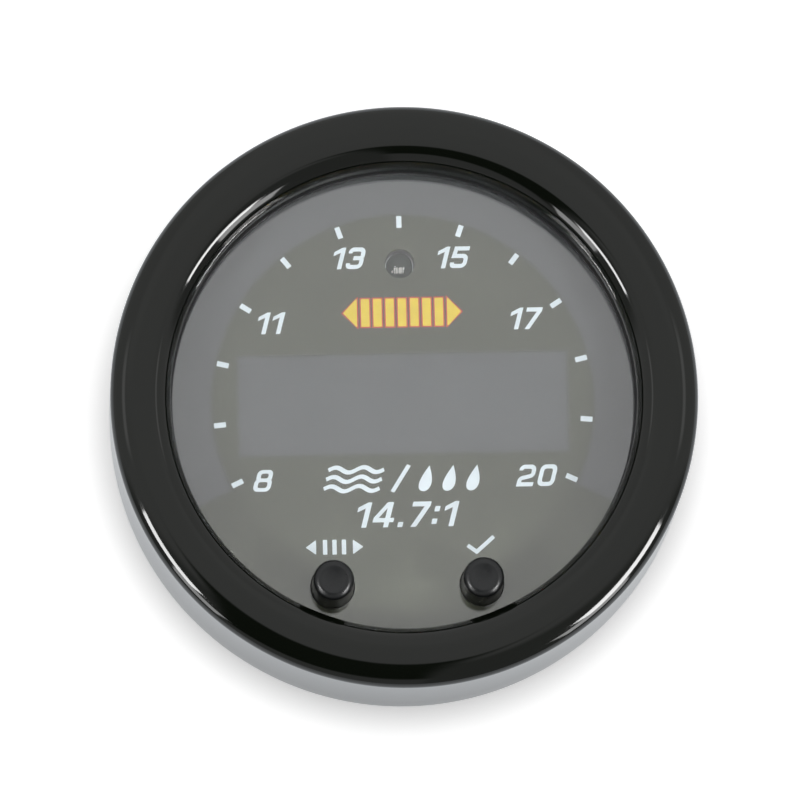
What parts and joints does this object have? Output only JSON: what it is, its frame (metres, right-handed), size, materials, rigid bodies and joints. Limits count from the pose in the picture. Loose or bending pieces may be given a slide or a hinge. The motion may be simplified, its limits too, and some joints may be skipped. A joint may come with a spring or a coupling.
{
  "type": "air fuel ratio gauge",
  "caption": "Round digital air fuel ratio gauge: gloss black bezel, clear lens over a numbered dial, light ring, display window and push buttons, on a shallow rear spigot.",
  "frame": {"origin": "centre of the flat back face, which the gauge lies on", "axes": "+Z out of the dial along the gauge's axis, +Y towards 12 o'clock on the dial"},
  "size_m": [0.059, 0.059, 0.021],
  "materials": {
    "bezel_gloss": "gloss black",
    "gasket_rubber": "satin black",
    "clear_lens": "clear gloss",
    "white_ink": "matte print",
    "dial_print": "matte printed dark grey",
    "diffuser_film": "translucent dark grey",
    "frame_black": "moulded matte black",
    "light_guide": "frosted clear",
    "light_emitters": "cream with clear top",
    "clear_sensor": "clear gloss",
    "display_body": "matte dark grey",
    "display_segments": "milky",
    "board_green": "satin solder mask",
    "button_black": "satin black",
    "switch_plastic": "moulded black",
    "sheet_steel": "plated",
    "plunger_plastic": "moulded cream",
    "spring_steel": "polished",
    "chip_black": "moulded black with tinned leads",
    "ferrite": "matte dark grey",
    "can_aluminium": "brushed can",
    "capacitor_ceramic": "tan with tinned ends",
    "connector_plastic": "moulded black",
    "contact_brass": "plated",
    "cover_black": "fine moulded grain",
    "insert_brass": "knurled",
    "screw_zinc": "zinc plated"
  },
  "bodies": {
    "gauge": {"bezel": "bezel_gloss", "lens_gasket": "gasket_rubber", "lens": "clear_lens", "scale_marks": "white_ink", "faceplate": "dial_print", "diffuser_film": "diffuser_film", "dial_frame": "frame_black", "light_ring": "light_guide", "ring_lights": "light_emitters", "light_sensor": "clear_sensor", "display_module": "display_body", "display_segments": "display_segments", "circuit_board": "board_green", "mode_switch_base": "switch_plastic", "mode_switch_cover": "sheet_steel", "mode_switch_dome": "spring_steel", "select_switch_base": "switch_plastic", "select_switch_cover": "sheet_steel", "select_switch_dome": "spring_steel", "controller_chip": "chip_black", "heater_driver": "chip_black", "sensor_amplifier": "chip_black", "voltage_regulator": "chip_black", "power_inductor": "ferrite", "filter_capacitors": "can_aluminium", "chip_capacitors": "capacitor_ceramic", "crystal": "sheet_steel", "connector_socket": "connector_plastic", "connector_pins": "contact_brass", "rear_cover": "cover_black", "bracket_inserts": "insert_brass", "cover_screws": "screw_zinc"},
    "mode_press": {"mode_button": "button_black", "mode_switch_plunger": "plunger_plastic"},
    "select_press": {"select_button": "button_black", "select_switch_plunger": "plunger_plastic"}
  },
  "joints": [
    {"name": "mode_button_press", "type": "slide", "parent": "gauge", "child": "mode_press", "axis": [0, 0, -1], "range_m": [0, 0.0003], "stiffness_N_per_m": 5000, "deforming": ["mode_switch_dome"]},
    {"name": "select_button_press", "type": "slide", "parent": "gauge", "child": "select_press", "axis": [0, 0, -1], "range_m": [0, 0.0003], "stiffness_N_per_m": 5000, "deforming": ["select_switch_dome"]}
  ]
}
